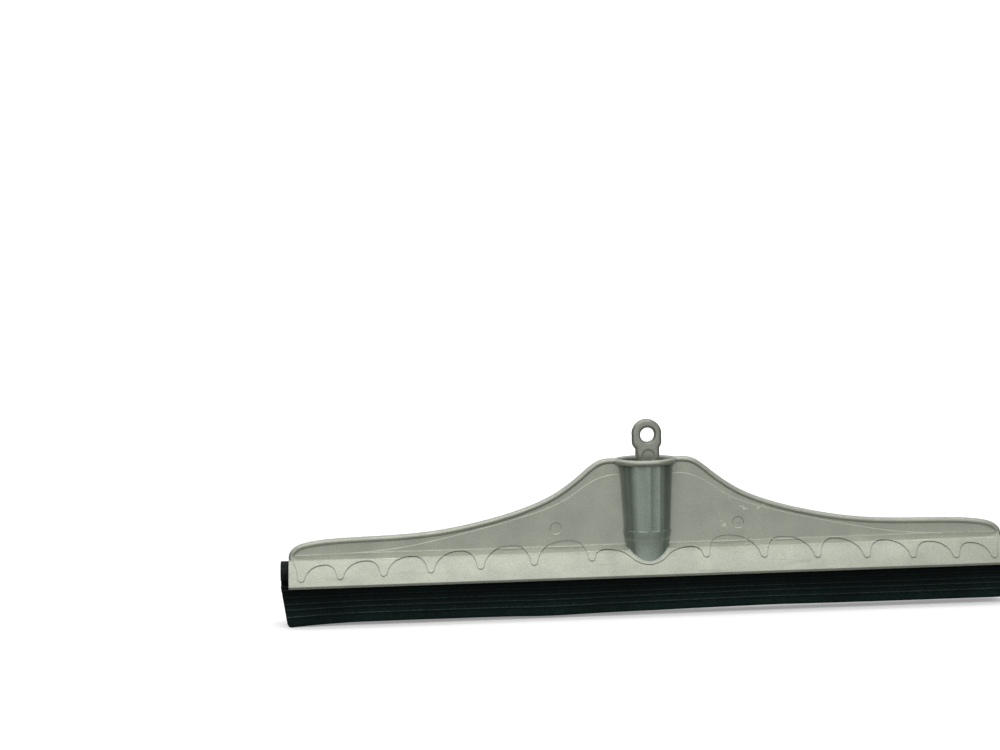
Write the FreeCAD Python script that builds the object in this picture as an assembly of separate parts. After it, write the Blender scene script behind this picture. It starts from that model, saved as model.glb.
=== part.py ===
import FreeCAD, Part
import math
import os

# Squeegee head: X along the head, Z up the handle socket's axis, Z = 0 at the rubber's lower edge.
V = FreeCAD.Vector

# moulding, overall
HALF_LENGTH = 200.0
SKIRT_BOTTOM = 20.5
SKIRT_BAND = 1.4
SKIRT_LIP = 0.5
LEDGE_EDGE = (6.5, 34.7)
LEDGE_EDGE_R = 1.6
LEDGE_LEAN = math.radians(63.0)
SLOPE_LEAN = math.radians(44.0)
SLOPE_R = 56.0
WEB_HALF = 1.5
WEB_FILLET = 1.6

# rounded rim along the top of the web: centre line of the bead, from the socket to the end corner
BEAD_Y = 2.5
BEAD_Z = 1.7
BEAD_LINE = [
    (14.4, 83.9),
    (20.0, 84.1),
    (25.2, 83.3),
    (30, 80.65),
    (36.6, 75.25),
    (43.2, 70.2),
    (50.5, 65.5),
    (64.4, 59.2),
    (91.6, 51.45),
    (118.5, 46.8),
    (145.5, 45.1),
    (168, 44.55),
    (182, 43.75),
    (190.4, 42.5),
    (195.6, 40.6),
    (198.1, 38),
    (198.5, 35.1),
]

# handle socket
SOCKET_TOP = 85.4
RIM_R = 1.6
RIM_CENTRE_R = 16.0
NOSE_R = 12.1
FLUTES = 12
FLUTE_R = 9.0
FLUTE_DEPTH = 0.65
FLUTE_Z = (45.0, 81.2)
SOCKET_R = (13.5, 15.3)
BORE_TOP_R = 12.85
BORE_BOTTOM_R = 10.9
BORE_FLOOR = 41.0

# raised splash panel
PANEL_STEP = 0.45
DRIPS = [32.0, 64.2, 94.0, 121.6, 147.6, 171.6, 193.0]
PANEL_END = (197.0, 34.0)
DRIP_R = 2.0
DRIP_FLARE = math.radians(12.0)
ARCH_SHAPE = [
    (0.05, 0.60),
    (0.13, 0.83),
    (0.25, 0.97),
    (0.40, 1.0),
    (0.62, 0.93),
    (0.80, 0.74),
    (0.93, 0.45),
]
NOSE_DIP = [
    (0.0, 27.3),
    (4.8, 28.2),
    (8.6, 30.1),
    (11.6, 32.5),
    (15.0, 34.3),
    (20.0, 35.4),
    (25.6, 35.5),
    (28.6, 34.4),
]
PANEL_TOP = [
    (12.0, 76.3),
    (22.6, 76.1),
    (31.6, 72.6),
    (42.0, 65.6),
    (69.0, 54.8),
    (110.0, 45.0),
    (140.0, 39.6),
    (162.0, 37.9),
    (182.0, 37.3),
    (193.0, 36.9),
    (196.2, 36.0),
    PANEL_END,
]

# ejector marks
MARK_R = 3.2
MARK_X = 51.2
MARK_Z = 47.6
MARK_DEPTH = 0.3

# channel that holds the rubber
MOUTH_HALF = 13.2
LIP_Z = (22.0, 24.5)
LIP_HALF = 6.5
ARCH_R = 9.3
ARCH_Z = 25.2
FIT_GAP = 0.3

# rubber strips
STRIP_TOP_X = 204.6
STRIP_BOTTOM_X = 201.4
STRIP_SPLIT = 0.15
STRIP_TIP_Y = 8.2
STRIP_SHOULDER_Y = 11.0
STRIP_GAP_Y = 3.0
STRIP_RIBS = [5.3, 9.0, 12.0, 15.6, 19.3]
STRIP_RIB_H = 0.8
STRIP_EDGE_R = 0.8

# hanging plug
EYE_R = 8.3
EYE_X = -0.35
EYE_Z = 98.55
HOLE_R = 4.0
EYE_ROUND = 1.9
HOLE_ROUND = 1.5
HOLE_Z = 98.0
TAB_HALF_Y = 2.8
NECK_HALF_X = 6.65
COLLAR_R = 10.4
COLLAR_Z = (58.0, 61.0)
STEM_R = 9.5
STEM_WALL = 1.8
STEM_BOTTOM = 41.3
PLUG_MARK = (0.3, 86.3)
PLUG_MARK_R = 3.5
PLUG_MARK_DEPTH = 0.35
PLUG_OFFSET_X = 0.8
PLUG_LEAN = 0.6
PLUG_LIFT = 0.3


def line(a, b):
    return Part.makeLine(a, b)


def arc(a, m, b):
    return Part.Arc(a, m, b).toShape()


def curve(points):
    spline = Part.BSplineCurve()
    spline.interpolate(points)
    return spline.toShape()


def face(edges):
    return Part.Face(Part.Wire(Part.__sortEdges__(edges)))


def polar(cy, cz, r, a):
    return cy + r * math.cos(a), cz + r * math.sin(a)


def half_section(t, side, top):
    """Skin of one side of the moulding, offset outwards by t, as edges in the YZ plane."""
    def p(yz):
        return V(0, side * yz[0], yz[1])

    n1 = polar(0, 0, 1, LEDGE_LEAN)
    n2 = polar(0, 0, 1, SLOPE_LEAN)
    half = (LEDGE_LEAN - SLOPE_LEAN) / 2
    edge = polar(*LEDGE_EDGE, -LEDGE_EDGE_R / math.cos(half), SLOPE_LEAN + half)
    ledge = (edge[0] + LEDGE_EDGE_R * n1[0], edge[1] + LEDGE_EDGE_R * n1[1])
    slope_top = (edge[0] + LEDGE_EDGE_R * n2[0], edge[1] + LEDGE_EDGE_R * n2[1])
    slope = polar(*slope_top, -SLOPE_R, SLOPE_LEAN)
    rise = math.asin((SKIRT_BOTTOM + SKIRT_BAND - slope[1]) / (SLOPE_R + t))
    foot = polar(*slope, SLOPE_R + t, rise)
    fy = WEB_HALF + WEB_FILLET
    fz = ledge[1] + (WEB_FILLET - (fy - ledge[0]) * n1[0]) / n1[1]
    rf = WEB_FILLET - t
    re = LEDGE_EDGE_R + t
    fillet_foot = polar(fy, fz, -rf, LEDGE_LEAN)
    web_foot = (WEB_HALF + t, fz)
    slope_mid = p(polar(*slope, SLOPE_R + t, (rise + SLOPE_LEAN) / 2))
    slope_end = p(polar(*edge, re, SLOPE_LEAN))
    edge_mid = p(polar(*edge, re, SLOPE_LEAN + half))
    edge_end = p(polar(*edge, re, LEDGE_LEAN))
    fillet_mid = p(polar(fy, fz, -rf, LEDGE_LEAN / 2))
    return [
        line(p((foot[0] - SKIRT_LIP, SKIRT_BOTTOM)), p(foot)),
        arc(p(foot), slope_mid, slope_end),
        arc(slope_end, edge_mid, edge_end),
        line(edge_end, p(fillet_foot)),
        arc(p(fillet_foot), fillet_mid, p(web_foot)),
        line(p(web_foot), p((WEB_HALF + t, top))),
    ], foot[0] - SKIRT_LIP, WEB_HALF + t


def moulding_prism(t):
    top = SOCKET_TOP + 5
    front, foot, web = half_section(t, -1, top)
    rear = half_section(t, 1, top)[0]
    ends = [
        line(V(0, -foot, SKIRT_BOTTOM), V(0, foot, SKIRT_BOTTOM)),
        line(V(0, -web, top), V(0, web, top)),
    ]
    prism = face(front + rear + ends)
    prism.translate(V(-HALF_LENGTH - 5, 0, 0))
    return prism.extrude(V(2 * HALF_LENGTH + 10, 0, 0))


def xz_prism(edges):
    prism = face(edges)
    prism.translate(V(0, -20, 0))
    return prism.extrude(V(0, 40, 0))


def both_sides(points):
    """The run of points on the right, and the same run mirrored on the left."""
    right = [V(x, 0, z) for x, z in points]
    left = [V(-x, 0, z) for x, z in points]
    return right, left


def head_outline():
    right, left = both_sides(BEAD_LINE)
    end_x = BEAD_LINE[-1][0]
    end_z = BEAD_LINE[-1][1]
    edges = [curve(right), curve(left)]
    edges.append(line(right[0], left[0]))
    for s in (-1, 1):
        corner = V(s * HALF_LENGTH, 0, end_z)
        edges.append(line(V(s * end_x, 0, end_z), corner))
        edges.append(line(corner, V(s * HALF_LENGTH, 0, SKIRT_BOTTOM)))
    edges.append(line(V(-HALF_LENGTH, 0, SKIRT_BOTTOM), V(HALF_LENGTH, 0, SKIRT_BOTTOM)))
    return xz_prism(edges)


def rim_bead():
    path = Part.Wire([curve([V(x, 0, z) for x, z in BEAD_LINE])])
    start = path.Edges[0].valueAt(path.Edges[0].FirstParameter)
    tangent = path.Edges[0].tangentAt(path.Edges[0].FirstParameter)
    across = V(0, 1, 0)
    up = tangent.cross(across)
    ellipse = Part.Ellipse(start + across * BEAD_Y, start + up * BEAD_Z, start)
    bead = path.makePipeShell([Part.Wire([ellipse.toShape()])], True, False)
    return [bead, bead.mirror(V(0, 0, 0), V(1, 0, 0))]


def revolve(edges):
    return face(edges).revolve(V(0, 0, 0), V(0, 0, 1), 360)


def socket_body():
    neck_z = SOCKET_TOP - 2 * RIM_R
    rim_foot = V(RIM_CENTRE_R, 0, neck_z)
    rim_side = V(RIM_CENTRE_R + RIM_R, 0, SOCKET_TOP - RIM_R)
    edges = [
        line(V(0, 0, 27), V(NOSE_R, 0, 27)),
        curve([V(NOSE_R, 0, 27), V(NOSE_R, 0, 33), V(NOSE_R + 0.35, 0, 38.5), V(SOCKET_R[0], 0, 45)]),
        line(V(SOCKET_R[0], 0, 45), V(SOCKET_R[1], 0, neck_z)),
        line(V(SOCKET_R[1], 0, neck_z), rim_foot),
        arc(rim_foot, rim_side, V(RIM_CENTRE_R, 0, SOCKET_TOP)),
        line(V(RIM_CENTRE_R, 0, SOCKET_TOP), V(0, 0, SOCKET_TOP)),
        line(V(0, 0, SOCKET_TOP), V(0, 0, 27)),
    ]
    body = revolve(edges)
    slope = (SOCKET_R[1] - SOCKET_R[0]) / (neck_z - 45)
    foot_r = SOCKET_R[0] + slope * (FLUTE_Z[0] - 45) - FLUTE_DEPTH + FLUTE_R
    cutters = []
    for i in range(FLUTES):
        a = 2 * math.pi * (i + 0.5) / FLUTES
        base = V(foot_r * math.cos(a), foot_r * math.sin(a), FLUTE_Z[0])
        axis = V(slope * math.cos(a), slope * math.sin(a), 1)
        cutters.append(Part.makeCylinder(FLUTE_R, FLUTE_Z[1] - FLUTE_Z[0], base, axis))
    return body.cut(cutters)


def socket_bore():
    mouth_r = RIM_CENTRE_R - 0.3
    lead = mouth_r - BORE_TOP_R
    mouth_z = SOCKET_TOP - lead
    edges = [
        line(V(0, 0, BORE_FLOOR), V(BORE_BOTTOM_R, 0, BORE_FLOOR)),
        line(V(BORE_BOTTOM_R, 0, BORE_FLOOR), V(BORE_TOP_R, 0, mouth_z)),
        arc(
            V(BORE_TOP_R, 0, mouth_z),
            V(mouth_r - lead * math.cos(math.pi / 4), 0, mouth_z + lead * math.sin(math.pi / 4)),
            V(mouth_r, 0, SOCKET_TOP),
        ),
        line(V(mouth_r, 0, SOCKET_TOP), V(mouth_r, 0, SOCKET_TOP + 3)),
        line(V(mouth_r, 0, SOCKET_TOP + 3), V(0, 0, SOCKET_TOP + 3)),
        line(V(0, 0, SOCKET_TOP + 3), V(0, 0, BORE_FLOOR)),
    ]
    return revolve(edges)


def drip_z(x):
    return 30.1 - 0.0345 * (x - 32.0)


def arch_z(x):
    return 40.8 - 0.058 * (x - 40.0)


def panel_edge():
    """Lower edge of the raised panel: a dip round the socket's nose, then narrow drips joined by arches."""
    side_x = DRIP_R * math.cos(DRIP_FLARE)
    side_z = DRIP_R * (1 - math.sin(DRIP_FLARE))
    drip_start = (DRIPS[0] - side_x, drip_z(DRIPS[0]) + side_z)
    right, left = both_sides(NOSE_DIP + [drip_start])
    edges = [curve(left[:0:-1] + right)]
    for i, x in enumerate(DRIPS):
        z = drip_z(x)
        run = [(x + side_x, z + side_z)]
        if i + 1 < len(DRIPS):
            end = DRIPS[i + 1] - side_x
            gap = end - run[0][0]
            top = arch_z(x + 0.4 * gap)
            for along, height in ARCH_SHAPE:
                run.append((run[0][0] + along * gap, z + height * (top - z)))
            run.append((end, drip_z(DRIPS[i + 1]) + side_z))
        else:
            run += [(195.8, 31.0), PANEL_END]
        for s in (-1, 1):
            drip_side = V(s * (x - side_x), 0, z + side_z)
            edges.append(arc(drip_side, V(s * x, 0, z), V(s * run[0][0], 0, z + side_z)))
            edges.append(curve([V(s * px, 0, pz) for px, pz in run]))
    return edges


def panel():
    edges = panel_edge()
    right, left = both_sides(PANEL_TOP)
    edges += [curve(right), curve(left), line(left[0], right[0])]
    return xz_prism(edges).common(moulding_prism(PANEL_STEP))


def channel():
    mouth = SKIRT_BOTTOM - 1
    half = [
        (MOUTH_HALF, mouth),
        (MOUTH_HALF, LIP_Z[0]),
        (LIP_HALF, LIP_Z[0]),
        (LIP_HALF, LIP_Z[1]),
        (ARCH_R, LIP_Z[1]),
        (ARCH_R, ARCH_Z),
    ]
    edges = []
    for s in (-1, 1):
        run = [V(0, s * y, z) for y, z in half]
        for a, b in zip(run, run[1:]):
            edges.append(line(a, b))
    edges.append(line(V(0, -MOUTH_HALF, mouth), V(0, MOUTH_HALF, mouth)))
    edges.append(arc(V(0, -ARCH_R, ARCH_Z), V(0, 0, ARCH_Z + ARCH_R), V(0, ARCH_R, ARCH_Z)))
    slot = face(edges)
    slot.translate(V(-HALF_LENGTH - 5, 0, 0))
    return slot.extrude(V(2 * HALF_LENGTH + 10, 0, 0))


def ejector_marks():
    marks = []
    skin = WEB_HALF + PANEL_STEP
    for x in (-MARK_X, MARK_X):
        for s in (-1, 1):
            base = V(x, s * (skin - MARK_DEPTH), MARK_Z)
            marks.append(Part.makeCylinder(MARK_R, 3, base, V(0, s, 0)))
    return marks


def head_moulding():
    plate = moulding_prism(0).common(head_outline())
    head = plate.fuse(rim_bead() + [panel(), socket_body()])
    head = head.cut([channel(), socket_bore()] + ejector_marks())
    return head.removeSplitter()


def strip_face_y(z):
    return STRIP_TIP_Y + (STRIP_SHOULDER_Y - STRIP_TIP_Y) * z / LIP_Z[0]


def strip(side):
    """One ribbed rubber strip: half of the T-shaped head above, a tapered lip below."""
    def p(y, z):
        return V(0, side * y, z)

    r = STRIP_EDGE_R
    shoulder_z = LIP_Z[0] - FIT_GAP
    block_z = LIP_Z[1] + FIT_GAP
    neck_y = LIP_HALF - FIT_GAP
    block_r = ARCH_R - FIT_GAP
    crown_z = ARCH_Z + math.sqrt(block_r ** 2 - STRIP_SPLIT ** 2)
    mid = polar(0, ARCH_Z, block_r, math.pi / 4)
    edges = [arc(p(STRIP_TIP_Y - r, 0), p(STRIP_TIP_Y - 0.29 * r, 0.29 * r), p(STRIP_TIP_Y, r))]
    last = p(STRIP_TIP_Y, r)
    for z in STRIP_RIBS:
        a = p(strip_face_y(z - 0.9), z - 0.9)
        b = p(strip_face_y(z + 0.9), z + 0.9)
        edges.append(line(last, a))
        edges.append(arc(a, p(strip_face_y(z) + STRIP_RIB_H, z), b))
        last = b
    outline = [
        last,
        p(strip_face_y(shoulder_z), shoulder_z),
        p(neck_y, shoulder_z),
        p(neck_y, block_z),
        p(block_r, block_z),
        p(block_r, ARCH_Z),
    ]
    inner = [
        p(STRIP_SPLIT, crown_z),
        p(STRIP_SPLIT, 16.0),
        p(STRIP_GAP_Y, 10.0),
        p(STRIP_GAP_Y, r),
    ]
    for run in (outline, inner):
        for a, b in zip(run, run[1:]):
            edges.append(line(a, b))
    edges.append(arc(p(block_r, ARCH_Z), p(*mid), p(STRIP_SPLIT, crown_z)))
    edges.append(arc(p(STRIP_GAP_Y, r), p(STRIP_GAP_Y + 0.29 * r, 0.29 * r), p(STRIP_GAP_Y + r, 0)))
    edges.append(line(p(STRIP_GAP_Y + r, 0), p(STRIP_TIP_Y - r, 0)))
    body = face(edges)
    body.translate(V(-STRIP_TOP_X - 5, 0, 0))
    body = body.extrude(V(2 * STRIP_TOP_X + 10, 0, 0))
    ends = [
        V(-STRIP_TOP_X, 0, 40),
        V(-STRIP_TOP_X, 0, LIP_Z[0]),
        V(-STRIP_BOTTOM_X, 0, 0),
        V(STRIP_BOTTOM_X, 0, 0),
        V(STRIP_TOP_X, 0, LIP_Z[0]),
        V(STRIP_TOP_X, 0, 40),
        V(-STRIP_TOP_X, 0, 40),
    ]
    return body.common(xz_prism([line(a, b) for a, b in zip(ends, ends[1:])]))


def plug_tab():
    foot_z = COLLAR_Z[0] + 1
    flank = [(EYE_R, EYE_Z), (8.25, 95.3), (7.9, 92.4), (7.2, 91.1), (NECK_HALF_X, 90.0)]
    right = [V(x + EYE_X, 0, z) for x, z in flank[:-1]]
    left = [V(EYE_X - x, 0, z) for x, z in flank[:-1]]
    right.append(V(NECK_HALF_X, 0, flank[-1][1]))
    left.append(V(-NECK_HALF_X, 0, flank[-1][1]))
    edges = [
        arc(right[0], V(EYE_X, 0, EYE_Z + EYE_R), left[0]),
        curve(right),
        curve(left),
        line(right[-1], V(NECK_HALF_X, 0, foot_z)),
        line(left[-1], V(-NECK_HALF_X, 0, foot_z)),
        line(V(NECK_HALF_X, 0, foot_z), V(-NECK_HALF_X, 0, foot_z)),
    ]
    tab = face(edges)
    tab.translate(V(0, -TAB_HALF_Y, 0))
    tab = tab.extrude(V(0, 2 * TAB_HALF_Y, 0))
    rounded = []
    for e in tab.Edges:
        box = e.BoundBox
        if box.YLength < 0.01 and box.ZMax > foot_z + 1:
            rounded.append(e)
    tab = tab.makeFillet(EYE_ROUND, rounded)
    hole = Part.makeCylinder(HOLE_R, 20, V(0, -10, HOLE_Z), V(0, 1, 0))
    tab = tab.cut(hole)
    rims = []
    for e in tab.Edges:
        centre = e.BoundBox.Center
        if abs(e.BoundBox.ZLength - 2 * HOLE_R) < 0.01 and abs(centre.z - HOLE_Z) < 0.01:
            rims.append(e)
    tab = tab.makeFillet(HOLE_ROUND, rims)
    mark_floor = V(PLUG_MARK[0], PLUG_MARK_DEPTH - TAB_HALF_Y, PLUG_MARK[1])
    return tab.cut(Part.makeCylinder(PLUG_MARK_R, 3, mark_floor, V(0, -1, 0)))


def hanging_plug():
    edges = [
        (STEM_R - STEM_WALL, STEM_BOTTOM),
        (STEM_R - 0.4, STEM_BOTTOM),
        (STEM_R, STEM_BOTTOM + 1.2),
        (STEM_R, COLLAR_Z[0]),
        (COLLAR_R, COLLAR_Z[0]),
        (COLLAR_R, COLLAR_Z[1] - 0.6),
        (COLLAR_R - 0.6, COLLAR_Z[1]),
        (0, COLLAR_Z[1]),
        (0, COLLAR_Z[0] - 2),
        (STEM_R - STEM_WALL, COLLAR_Z[0] - 2),
        (STEM_R - STEM_WALL, STEM_BOTTOM),
    ]
    points = [V(r, 0, z) for r, z in edges]
    stem = revolve([line(a, b) for a, b in zip(points, points[1:])])
    rings = []
    for z in (45.0, 49.5, 54.0):
        rings.append(Part.makeTorus(STEM_R - 0.4, 0.7, V(0, 0, z), V(0, 0, 1)))
    plug = stem.fuse(rings + [plug_tab()]).removeSplitter()
    plug.rotate(V(0, 0, STEM_BOTTOM), V(0, 1, 0), PLUG_LEAN)
    plug.translate(V(PLUG_OFFSET_X, 0, PLUG_LIFT))
    return plug


os.makedirs("parts", exist_ok=True)
head_moulding().exportStep("parts/head_moulding.step")
strip(-1).exportStep("parts/front_blade.step")
strip(1).exportStep("parts/rear_blade.step")
hanging_plug().exportStep("parts/hanging_plug.step")
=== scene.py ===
import math

import bmesh
import bpy
from mathutils import Matrix, Vector, noise


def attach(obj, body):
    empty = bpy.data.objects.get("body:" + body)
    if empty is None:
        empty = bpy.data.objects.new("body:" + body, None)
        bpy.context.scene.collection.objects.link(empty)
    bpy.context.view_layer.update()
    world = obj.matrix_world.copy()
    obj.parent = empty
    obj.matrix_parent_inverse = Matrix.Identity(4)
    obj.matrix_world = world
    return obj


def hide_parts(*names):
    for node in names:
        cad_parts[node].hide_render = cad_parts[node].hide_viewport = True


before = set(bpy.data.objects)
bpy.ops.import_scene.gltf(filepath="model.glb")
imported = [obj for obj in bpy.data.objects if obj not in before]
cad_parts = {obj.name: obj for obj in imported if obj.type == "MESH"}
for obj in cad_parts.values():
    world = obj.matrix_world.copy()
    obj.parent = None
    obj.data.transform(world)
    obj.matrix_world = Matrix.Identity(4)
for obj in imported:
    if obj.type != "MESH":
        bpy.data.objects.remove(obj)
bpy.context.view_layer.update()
scene = bpy.context.scene
scene.view_settings.view_transform = "Standard"
MM = 0.001

# edges that meet at more than this stay sharp
PLASTIC_SHARP = math.radians(28)
RUBBER_SHARP = math.radians(40)

# rubber strip, in millimetres: y is the distance from the head's middle plane
STRIP_TOP_X = 204.6
STRIP_BOTTOM_X = 201.4
STRIP_TOP_Z = 22.0
STRIP_RIBS = (5.3, 9.0, 12.0, 15.6, 19.3)
RIB_HALF = 0.55
RIB_HEIGHT = 0.8
TIP_Y = 8.2
FACE_LEAN = 2.8
EDGE_R = 0.8
CORNER_R = 2.0
SHOULDER_Z = 21.7
NECK_Y = 6.2
BLOCK_FOOT_Z = 24.8
BLOCK_R = 9.0
BLOCK_Z = 25.2
SPLIT_Y = 0.15
SPLIT_FOOT_Z = 16.0
GAP_Y = 3.0
GAP_TOP_Z = 10.0
STATION = 1.6

# unevenness of the soft rubber, in millimetres; lengths are along the strip, then up it
WOBBLE = 0.30
WOBBLE_LENGTH = (38.0, 30.0)
RIPPLE = 0.10
RIPPLE_LENGTH = (6.0, 5.0)
HELD_Z = 21.0
FREE_DEPTH = 12.0
SAG_Z = 20.0

# colours
SILVER_GREY = (0.372, 0.397, 0.322)
# painted shade: a darker, shaded copy of the silver grey, for the socket's wall
SOCKET_SHADED_GREY = (0.275, 0.335, 0.275)
RUBBER_BLACK = (0.0044, 0.0128, 0.0114)
# painted highlight colour for the rubber's up-facing faces
RUBBER_TOP_LIGHT = (0.0300, 0.0440, 0.0410)
FLOOR_WHITE = (0.90, 0.90, 0.895)

# where the socket's painted shade starts and ends, in metres: a darker shaded grey on its wall, darker
# sides and a darker bore
SOCKET_FOOT_Z = (0.0275, 0.0300)
SOCKET_NECK_Z = (0.0815, 0.0825)
SOCKET_WIDENS_Z = (0.040, 0.052)
SOCKET_REACH_R = (0.0127, 0.0186)
SOCKET_BLEND = (-0.0003, 0.0003)
SOCKET_PROUD_Y = (0.0024, 0.0036)
SOCKET_WALL_R = (0.0115, 0.0121)
SOCKET_SIDE = (0.55, 0.72)
SOCKET_SIDE_SHADE = 0.62
BORE_R = (0.0130, 0.0150)
BORE_Z = (0.070, 0.078)
BORE_SHADE = 0.40

# pale knocks in the web, in metres
SCUFF_CENTRE = (0.055, -0.002, 0.050)
SCUFF_RANGE = (0.007, 0.019)

# floor and backdrop, in metres
FLOOR_Z = -0.0018
FLOOR_FRONT_Y = -6.0
FLOOR_HALF_WIDTH = 8.0
COVE_Y = 1.6
COVE_R = 1.2
COVE_STEPS = 24
BACKDROP_TOP_Z = 5.0

# lights: name, place, aim and size in metres, power in watts
LIGHTS = [
    ("overhead", (-0.10, -0.48, 0.80), (-0.05, -0.05, 0.03), (0.90, 0.62), 2.0),
    ("tube", (0.0, 0.02, 1.5), (0.0, 0.0, 0.0), (2.0, 0.04), 4.0),
    ("backdrop_wash", (0.0, 0.7, 1.3), (0.0, 2.7, 0.6), (3.6, 0.5), 28.0),
]

# camera: place in metres, angles in degrees, lens in millimetres, all from a fit
CAMERA_AT = (-0.1347, -1.1817, 0.2118)
CAMERA_YAW = -2.66
CAMERA_PITCH = 3.754
CAMERA_ROLL = -1.612
CAMERA_LENS = 76.83
SENSOR_WIDTH = 36.0


# ---------------------------------------------------------------- helpers
def node(tree, kind, **values):
    """A new node; each value goes to its property of that name, or else to its input."""
    made = tree.nodes.new(kind)
    for name, value in values.items():
        if hasattr(made, name):
            setattr(made, name, value)
        else:
            made.inputs[name].default_value = value
    return made


def new_material(name):
    material = bpy.data.materials.new(name)
    material.use_nodes = True
    return material, material.node_tree, material.node_tree.nodes["Principled BSDF"]


def set_input(shader, name, value):
    shader.inputs[name].default_value = value


def math_node(tree, operation, first, second=0.0):
    """The result of a Math node; first and second are sockets or plain numbers."""
    made = tree.nodes.new("ShaderNodeMath")
    made.operation = operation
    for slot, value in zip(made.inputs, (first, second)):
        if isinstance(value, (int, float)):
            slot.default_value = value
        else:
            tree.links.new(value, slot)
    return made.outputs[0]


def product(tree, first, *others):
    """The first socket times the others, which are sockets or plain numbers."""
    for other in others:
        first = math_node(tree, "MULTIPLY", first, other)
    return first


def remap(tree, value, source, target=(0.0, 1.0)):
    """Maps the source range smoothly to the target range, and holds the ends beyond it."""
    made = tree.nodes.new("ShaderNodeMapRange")
    made.interpolation_type = "SMOOTHSTEP"
    tree.links.new(value, made.inputs["Value"])
    for name, number in zip(("From Min", "From Max", "To Min", "To Max"), (*source, *target)):
        made.inputs[name].default_value = number
    return made.outputs["Result"]


def axes_of(tree, vector):
    """The X, Y and Z parts of a vector socket."""
    parts = tree.nodes.new("ShaderNodeSeparateXYZ")
    tree.links.new(vector, parts.inputs["Vector"])
    return parts.outputs["X"], parts.outputs["Y"], parts.outputs["Z"]


def height_of(tree, vector):
    """The Z part of a vector socket."""
    return axes_of(tree, vector)[2]


def object_place(tree):
    return tree.nodes.new("ShaderNodeTexCoord").outputs["Object"]


def true_normal(tree):
    return tree.nodes.new("ShaderNodeNewGeometry").outputs["Normal"]


def noise_at(tree, place, scale, detail=3.0, squeeze=None):
    """Noise of about 0.3 to 0.7; squeeze packs the pattern more tightly along each axis."""
    if squeeze:
        mapping = tree.nodes.new("ShaderNodeMapping")
        mapping.inputs["Scale"].default_value = squeeze
        tree.links.new(place, mapping.inputs["Vector"])
        place = mapping.outputs["Vector"]
    made = node(tree, "ShaderNodeTexNoise", Scale=scale, Detail=detail)
    tree.links.new(place, made.inputs["Vector"])
    return made.outputs["Fac"]


def mix_colour(tree, share, first, second):
    """From the first colour to the second as share goes from 0 to 1."""
    made = node(tree, "ShaderNodeMix", data_type="RGBA")
    tree.links.new(share, made.inputs[0])
    made.inputs[6].default_value = (*first, 1.0)
    made.inputs[7].default_value = (*second, 1.0)
    return made.outputs[2]


def times_colour(tree, colour, factor):
    """A colour, as a socket or a constant, times a grey factor socket."""
    made = tree.nodes.new("ShaderNodeVectorMath")
    made.operation = "SCALE"
    if isinstance(colour, tuple):
        made.inputs[0].default_value = colour
    else:
        tree.links.new(colour, made.inputs[0])
    tree.links.new(factor, made.inputs["Scale"])
    return made.outputs["Vector"]


def bump(tree, height, strength, distance, under=None):
    """A normal bent by height, on top of the normal given as under."""
    made = node(tree, "ShaderNodeBump", Strength=strength, Distance=distance)
    if under:
        tree.links.new(under, made.inputs["Normal"])
    tree.links.new(height, made.inputs["Height"])
    return made.outputs["Normal"]


def crease_shade(tree, distance, darkest, open_sky):
    """Darkest in creases narrower than distance, rising to 1 over the range of open sky."""
    inside = node(tree, "ShaderNodeAmbientOcclusion", samples=8, Distance=distance)
    return remap(tree, inside.outputs["AO"], open_sky, (darkest, 1.0))


def add_object(name, mesh, material):
    made = bpy.data.objects.new(name, mesh)
    scene.collection.objects.link(made)
    mesh.materials.clear()
    mesh.materials.append(material)
    return made


def smooth_copy(node_name, name, material):
    """A welded copy of a CAD node's mesh, smooth except at its sharp edges."""
    bm = bmesh.new()
    bm.from_mesh(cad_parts[node_name].data)
    bmesh.ops.remove_doubles(bm, verts=bm.verts, dist=2e-6)
    for f in bm.faces:
        f.smooth = True
    for e in bm.edges:
        e.smooth = len(e.link_faces) == 2 and e.calc_face_angle(0) < PLASTIC_SHARP
    fresh = bpy.data.meshes.new(name)
    bm.to_mesh(fresh)
    bm.free()
    return add_object(name, fresh, material)


# ---------------------------------------------------------------- materials
def scuffs(tree, place):
    """1 on a few pale knocks in the web beside one ejector mark, 0 elsewhere."""
    away = tree.nodes.new("ShaderNodeVectorMath")
    away.operation = "DISTANCE"
    tree.links.new(place, away.inputs[0])
    away.inputs[1].default_value = SCUFF_CENTRE
    near = remap(tree, away.outputs["Value"], SCUFF_RANGE, (1.0, 0.0))
    knock = remap(tree, noise_at(tree, place, 300.0, 2.0, squeeze=(0.7, 1.0, 1.2)), (0.64, 0.69))
    return product(tree, near, knock)


def on_socket(tree, place):
    """Two masks: 1 on the socket's outer wall, and a painted shade that darkens its sides and its bore.
    """
    x, y, z = axes_of(tree, place)
    across = product(tree, x, x)
    along = product(tree, y, y)
    radius = math_node(tree, "SQRT", math_node(tree, "ADD", across, along))

    reach = remap(tree, z, SOCKET_WIDENS_Z, SOCKET_REACH_R)
    near_axis = remap(tree, math_node(tree, "SUBTRACT", reach, radius), SOCKET_BLEND)
    proud = remap(tree, math_node(tree, "ABSOLUTE", y), SOCKET_PROUD_Y)
    outer = remap(tree, radius, SOCKET_WALL_R)
    above_foot = remap(tree, z, SOCKET_FOOT_Z)
    below_neck = remap(tree, z, SOCKET_NECK_Z, (1.0, 0.0))
    body = product(tree, near_axis, proud, outer, above_foot, below_neck)

    # painted shade: darker down inside the socket's bore
    bore = product(tree, remap(tree, radius, BORE_R, (1.0, 0.0)), remap(tree, z, BORE_Z))
    bore_painted_shade = remap(tree, bore, (0.0, 1.0), (1.0, BORE_SHADE))
    # painted shade: the socket darker towards its sides, which turn away from the light
    aside = math_node(tree, "DIVIDE", math_node(tree, "ABSOLUTE", x), radius)
    aside = product(tree, remap(tree, aside, SOCKET_SIDE), body)
    side_painted_shade = remap(tree, aside, (0.0, 1.0), (1.0, SOCKET_SIDE_SHADE))
    return body, product(tree, bore_painted_shade, side_painted_shade)


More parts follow.
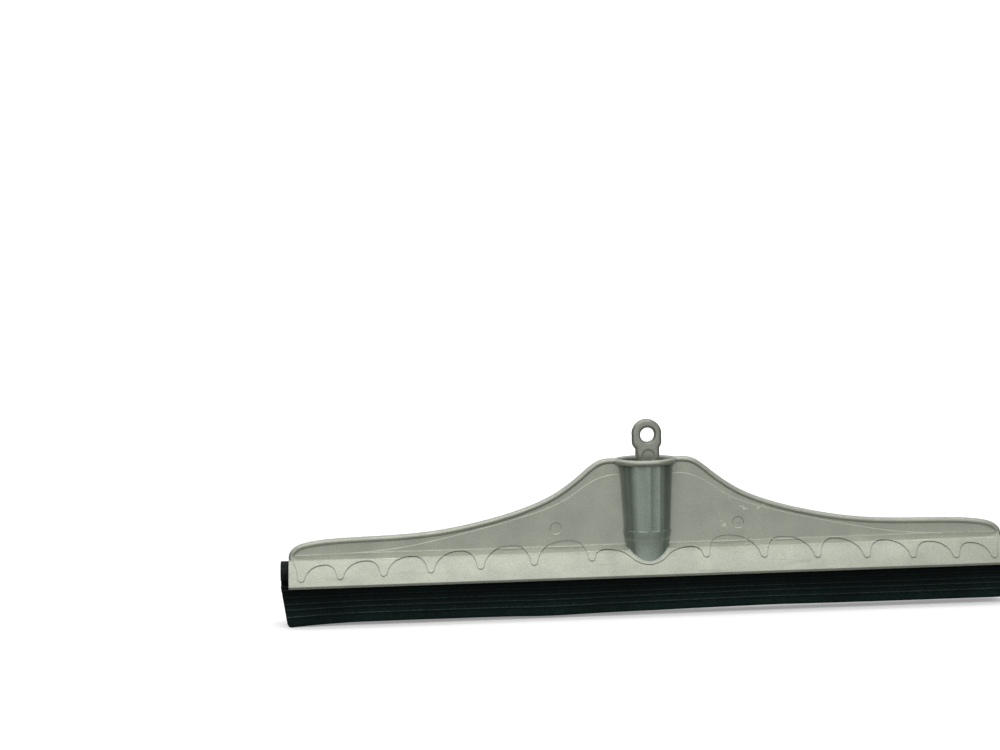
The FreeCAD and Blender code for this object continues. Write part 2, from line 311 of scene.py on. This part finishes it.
def pigment(tree, place):
    """Fine speckle, faint clouds and, mostly on the skirt, darker flow streaks."""
    speckle = remap(tree, noise_at(tree, place, 2100.0, 2.0), (0.30, 0.70), (0.82, 1.18))
    cloud = remap(tree, noise_at(tree, place, 60.0, 4.0), (0.30, 0.70), (0.93, 1.06))
    flow = remap(tree, noise_at(tree, place, 30.0, 5.0, squeeze=(0.8, 3.0, 8.0)), (0.56, 0.72))
    on_skirt = remap(tree, height_of(tree, place), (0.032, 0.035), (1.0, 0.12))
    streak = remap(tree, product(tree, flow, on_skirt), (0.0, 1.0), (1.0, 0.80))
    return product(tree, speckle, cloud, streak)


def painted_edge_light(tree, rounded):
    """Painted highlight along edges that the rounded normal turns upwards, painted shade in creases that
    don't face up.
    """
    smooth_up = height_of(tree, rounded)
    turned_up = math_node(tree, "SUBTRACT", smooth_up, height_of(tree, true_normal(tree)))
    # painted highlight: lighter where the rounded normal turns up from the true one
    up_edge_highlight = remap(tree, turned_up, (0.08, 0.40), (1.0, 1.7))
    # painted shade: darker in narrow creases, except where they face up
    crease = crease_shade(tree, 0.0018, 0.13, (0.48, 0.76))
    not_up = remap(tree, smooth_up, (-0.05, 0.20), (1.0, 0.0))
    lost = product(tree, math_node(tree, "SUBTRACT", 1.0, crease), not_up)
    return product(tree, math_node(tree, "SUBTRACT", 1.0, lost), up_edge_highlight)


def grey_plastic(name, depth, socket, rounding, gloss):
    """Silver-grey moulded plastic, pearly and speckled.

    depth scales the colour, socket adds the socket's painted shade (a darker shaded grey, darker sides
    and bore) and scuffs, rounding is the radius in metres of softened edges, and gloss is taken off the
    roughness.
    """
    material, tree, shader = new_material(name)
    links = tree.links
    place = object_place(tree)
    rounded = node(tree, "ShaderNodeBevel", samples=8, Radius=rounding).outputs["Normal"]

    # pigment times the painted edge highlight and painted crease shade
    tone = product(tree, pigment(tree, place), painted_edge_light(tree, rounded))
    colour = tuple(part * depth for part in SILVER_GREY)
    if socket:
        body, socket_painted_shade = on_socket(tree, place)
        # painted shade: the socket's wall mixed towards a darker shaded grey
        colour = mix_colour(tree, body, colour, SOCKET_SHADED_GREY)
        scuffed = remap(tree, scuffs(tree, place), (0.0, 1.0), (1.0, 1.7))
        # painted shade of the socket's sides and bore, times the scuffs
        tone = product(tree, tone, socket_painted_shade, scuffed)
    links.new(times_colour(tree, colour, tone), shader.inputs["Base Color"])

    polish_marks = noise_at(tree, place, 140.0, 4.0)
    roughness = remap(tree, polish_marks, (0.3, 0.7), (0.38 - gloss, 0.48 - gloss))
    links.new(roughness, shader.inputs["Roughness"])
    set_input(shader, "Metallic", 0.38)
    set_input(shader, "Coat Weight", 0.80)
    set_input(shader, "Coat Roughness", 0.07)

    grain = noise_at(tree, place, 2600.0, 2.0)
    ripple = noise_at(tree, place, 90.0, 2.0, squeeze=(0.6, 1.0, 1.6))
    wavy = bump(tree, ripple, 0.10, 0.0006, rounded)
    links.new(bump(tree, grain, 0.05, 0.0002, wavy), shader.inputs["Normal"])
    return material


def black_rubber():
    """Black cellular rubber: matt, with the open pores and pale dust of cut foam, a painted highlight on
    faces that look up and painted shade towards the top and in creases.
    """
    material, tree, shader = new_material("black_rubber")
    links = tree.links
    place = object_place(tree)
    dust = remap(tree, noise_at(tree, place, 1300.0, 3.0), (0.40, 0.70), (0.65, 1.6))
    patch = remap(tree, noise_at(tree, place, 45.0, 4.0), (0.3, 0.7), (0.8, 1.25))
    # painted shade: darker towards the top, under the skirt's overhang, lighter near the free edge
    painted_shade_under_skirt = remap(tree, height_of(tree, place), (0.003, 0.019), (1.25, 0.42))
    # painted shade in the rubber's creases
    crease = crease_shade(tree, 0.004, 0.25, (0.25, 0.80))
    tone = product(tree, dust, patch, painted_shade_under_skirt, crease)
    # painted highlight: faces that look up turn to a lighter colour, as if lit from above
    faces_up = remap(tree, height_of(tree, true_normal(tree)), (0.15, 0.65))
    top_lit_colour = mix_colour(tree, faces_up, RUBBER_BLACK, RUBBER_TOP_LIGHT)
    links.new(times_colour(tree, top_lit_colour, tone), shader.inputs["Base Color"])
    set_input(shader, "Roughness", 0.75)
    set_input(shader, "Specular IOR Level", 0.12)

    pores = node(tree, "ShaderNodeTexVoronoi", Scale=1500.0)
    links.new(place, pores.inputs["Vector"])
    links.new(bump(tree, pores.outputs["Distance"], 0.5, 0.0002), shader.inputs["Normal"])
    return material


def pale_floor():
    """Matt white, with a little glow of its own."""
    material, tree, shader = new_material("floor")
    tone = remap(tree, noise_at(tree, object_place(tree), 3.0, 3.0), (0.3, 0.7), (0.985, 1.0))
    tree.links.new(times_colour(tree, FLOOR_WHITE, tone), shader.inputs["Base Color"])
    set_input(shader, "Roughness", 0.95)
    set_input(shader, "Specular IOR Level", 0.1)
    set_input(shader, "Emission Color", (1, 1, 1, 1))
    set_input(shader, "Emission Strength", 0.27)
    return material


plastic = grey_plastic("grey_plastic", depth=1.0, socket=True, rounding=0.0004, gloss=0.0)
plug_plastic = grey_plastic("plug_plastic", depth=0.66, socket=False, rounding=0.0012, gloss=0.14)
rubber = black_rubber()

# ---------------------------------------------------------------- pieces
head = smooth_copy("head_moulding", "head_shell", plastic)
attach(head, "head")
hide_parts("head_moulding")

plug = smooth_copy("hanging_plug", "plug_shell", plug_plastic)
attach(plug, "plug")
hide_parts("hanging_plug")


def strip_face_y(z):
    """The strip's ribbed face, between its ribs: further out towards the top."""
    return TIP_Y + FACE_LEAN * z / STRIP_TOP_Z


def strip_section():
    """Closed outline (y, z) in millimetres of one strip, y away from the head's middle plane."""
    tip_edge = TIP_Y - EDGE_R
    points = [(GAP_Y + EDGE_R, 0.0), (5.6, 0.0), (tip_edge, 0.0)]
    for i in range(1, 5):
        a = math.radians(-90 + 90 * i / 5)
        points.append((tip_edge + EDGE_R * math.cos(a), EDGE_R + EDGE_R * math.sin(a)))
    last = EDGE_R
    for rib in STRIP_RIBS:
        while rib - RIB_HALF - last > 1.2:
            last += 1.0
            points.append((strip_face_y(last), last))
        for i in range(9):
            a = math.pi * i / 8
            z = rib - RIB_HALF * math.cos(a)
            points.append((strip_face_y(z) + RIB_HEIGHT * math.sin(a), z))
        last = rib + RIB_HALF
    points += [
        (strip_face_y(SHOULDER_Z), SHOULDER_Z),
        (NECK_Y, SHOULDER_Z),
        (NECK_Y, BLOCK_FOOT_Z),
        (BLOCK_R, BLOCK_FOOT_Z),
        (BLOCK_R, BLOCK_Z),
    ]
    for i in range(1, 11):
        a = math.radians(9 * i)
        points.append((max(BLOCK_R * math.cos(a), SPLIT_Y), BLOCK_Z + BLOCK_R * math.sin(a)))
    points += [
        (SPLIT_Y, 25.0),
        (SPLIT_Y, SPLIT_FOOT_Z),
        (1.6, 13.0),
        (GAP_Y, GAP_TOP_Z),
        (GAP_Y, 5.0),
        (GAP_Y, EDGE_R),
    ]
    return points


def hump(x, centre, width):
    """1 at the centre, falling smoothly to 0 on both sides."""
    return math.exp(-(((x - centre) / width) ** 2))


def droop(x):
    """How far the free edge hangs below its nominal line, most at the left end, in millimetres."""
    left_end = min(max(0.0, (-x - 160.0) / 40.0), 1.0)
    slow = -0.55 + 0.95 / (1 + math.exp(x / 22.0))
    dip = 0.5 * hump(x, -55.0, 22.0)
    rise = 0.4 * hump(x, 70.0, 40.0)
    return slow - 0.45 + dip - rise + 1.85 * left_end ** 1.7


def half_length(z):
    """Half a strip's length at height z, with its lower corners rounded."""
    half = STRIP_BOTTOM_X + (STRIP_TOP_X - STRIP_BOTTOM_X) * min(z / STRIP_TOP_Z, 1.0)
    if z < CORNER_R:
        half -= CORNER_R - math.sqrt(max(CORNER_R ** 2 - (CORNER_R - z) ** 2, 0.0))
    return half


def uneven(x, z, side):
    """How far the soft rubber strays outwards and upwards; side picks a row of the noise."""
    wobble = WOBBLE * noise.noise(Vector((x / WOBBLE_LENGTH[0], side * 3.1, z / WOBBLE_LENGTH[1])))
    ripple = RIPPLE * noise.noise(Vector((x / RIPPLE_LENGTH[0], side * 7.7, z / RIPPLE_LENGTH[1])))
    free = min(1.0, max(0.0, (HELD_Z - z) / FREE_DEPTH))
    sag = max(0.0, 1 - z / SAG_Z) ** 0.8 * droop(x)
    return free * (1.6 * wobble + ripple), free * (0.6 * wobble + 0.5 * ripple) - sag


def strip_mesh(name, side):
    """One strip lofted along X through its section; side is -1 in front and 1 behind."""
    section = strip_section()
    count = len(section)
    stations = int(2 * STRIP_TOP_X / STATION)
    bm = bmesh.new()
    rings = []
    for i in range(stations + 1):
        t = 2 * i / stations - 1
        ring = []
        for y, z in section:
            x = t * half_length(z)
            dy, dz = uneven(x, z, side)
            ring.append(bm.verts.new((x * MM, side * (y + dy) * MM, (z + dz) * MM)))
        rings.append(ring)
    for a, b in zip(rings, rings[1:]):
        for j in range(count):
            k = (j + 1) % count
            bm.faces.new((a[j], a[k], b[k], b[j]))
    bm.faces.new(rings[0])
    bm.faces.new(rings[-1])
    for f in bm.faces:
        f.smooth = True
    bmesh.ops.recalc_face_normals(bm, faces=bm.faces)
    for e in bm.edges:
        e.smooth = e.calc_face_angle(0) < RUBBER_SHARP
    mesh = bpy.data.meshes.new(name)
    bm.to_mesh(mesh)
    bm.free()
    return mesh


for side, word in ((-1, "front"), (1, "rear")):
    strip = add_object(word + "_strip", strip_mesh(word + "_strip", side), rubber)
    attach(strip, word + "_rubber")
    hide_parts(word + "_blade")


# ---------------------------------------------------------------- stage
def floor_mesh():
    """A sheet that runs back along the floor and curves up into a backdrop."""
    mesh = bpy.data.meshes.new("floor")
    profile = [(FLOOR_FRONT_Y, FLOOR_Z), (COVE_Y, FLOOR_Z)]
    for i in range(1, COVE_STEPS + 1):
        a = math.radians(90 * i / COVE_STEPS)
        profile.append((COVE_Y + COVE_R * math.sin(a), FLOOR_Z + COVE_R - COVE_R * math.cos(a)))
    profile.append((COVE_Y + COVE_R, BACKDROP_TOP_Z))
    verts = []
    for y, z in profile:
        verts.append((-FLOOR_HALF_WIDTH, y, z))
        verts.append((FLOOR_HALF_WIDTH, y, z))
    faces = []
    for i in range(len(profile) - 1):
        faces.append((2 * i, 2 * i + 1, 2 * i + 3, 2 * i + 2))
    mesh.from_pydata(verts, [], faces)
    for f in mesh.polygons:
        f.use_smooth = True
    return mesh


floor = add_object("floor", floor_mesh(), pale_floor())
floor.visible_diffuse = False
floor.visible_glossy = False


def area_light(name, at, towards, size, power):
    data = bpy.data.lights.new(name, "AREA")
    data.shape = "RECTANGLE"
    data.size = size[0]
    data.size_y = size[1]
    data.energy = power
    lamp = bpy.data.objects.new(name, data)
    lamp.location = at
    lamp.rotation_euler = (Vector(towards) - Vector(at)).to_track_quat("-Z", "Y").to_euler()
    scene.collection.objects.link(lamp)


for light in LIGHTS:
    area_light(*light)


def studio_world():
    """A bright ceiling and a low band of light in front, dark to both sides and below."""
    world = bpy.data.worlds.new("studio")
    world.use_nodes = True
    tree = world.node_tree
    x, y, z = axes_of(tree, tree.nodes.new("ShaderNodeTexCoord").outputs["Generated"])
    ceiling = remap(tree, z, (-0.12, 0.75), (0.08, 0.95))
    front = remap(tree, y, (-0.62, 0.05), (1.0, 0.0))
    low = remap(tree, math_node(tree, "ABSOLUTE", z), (0.05, 0.55), (1.0, 0.0))
    glow = product(tree, front, low, 0.93)
    side = remap(tree, math_node(tree, "ABSOLUTE", x), (0.70, 0.96), (1.0, 0.08))
    dim_right = remap(tree, x, (0.0, 0.9), (1.0, 0.6))
    light = product(tree, math_node(tree, "ADD", ceiling, glow), product(tree, side, dim_right))
    background = tree.nodes["Background"]
    tree.links.new(light, background.inputs["Strength"])
    background.inputs["Color"].default_value = (1, 1, 1, 1)
    scene.world = world


studio_world()


# ---------------------------------------------------------------- camera
def add_camera(at, yaw, pitch, roll, lens):
    """Looks along +Y at zero angles; yaw turns it to the left, pitch down, roll anticlockwise."""
    right = Vector((math.cos(yaw), math.sin(yaw), 0))
    ahead = Vector((-math.sin(yaw) * math.cos(pitch), math.cos(yaw) * math.cos(pitch), -math.sin(pitch)))
    up = right.cross(ahead)
    right, up = (
        right * math.cos(roll) + up * math.sin(roll),
        up * math.cos(roll) - right * math.sin(roll),
    )
    data = bpy.data.cameras.new("camera")
    data.sensor_width = SENSOR_WIDTH
    data.lens = lens
    made = bpy.data.objects.new("camera", data)
    made.matrix_world = Matrix((right, up, -ahead)).transposed().to_4x4()
    made.location = at
    scene.collection.objects.link(made)
    return made


scene.camera = add_camera(
    CAMERA_AT,
    math.radians(CAMERA_YAW),
    math.radians(CAMERA_PITCH),
    math.radians(CAMERA_ROLL),
    CAMERA_LENS,
)
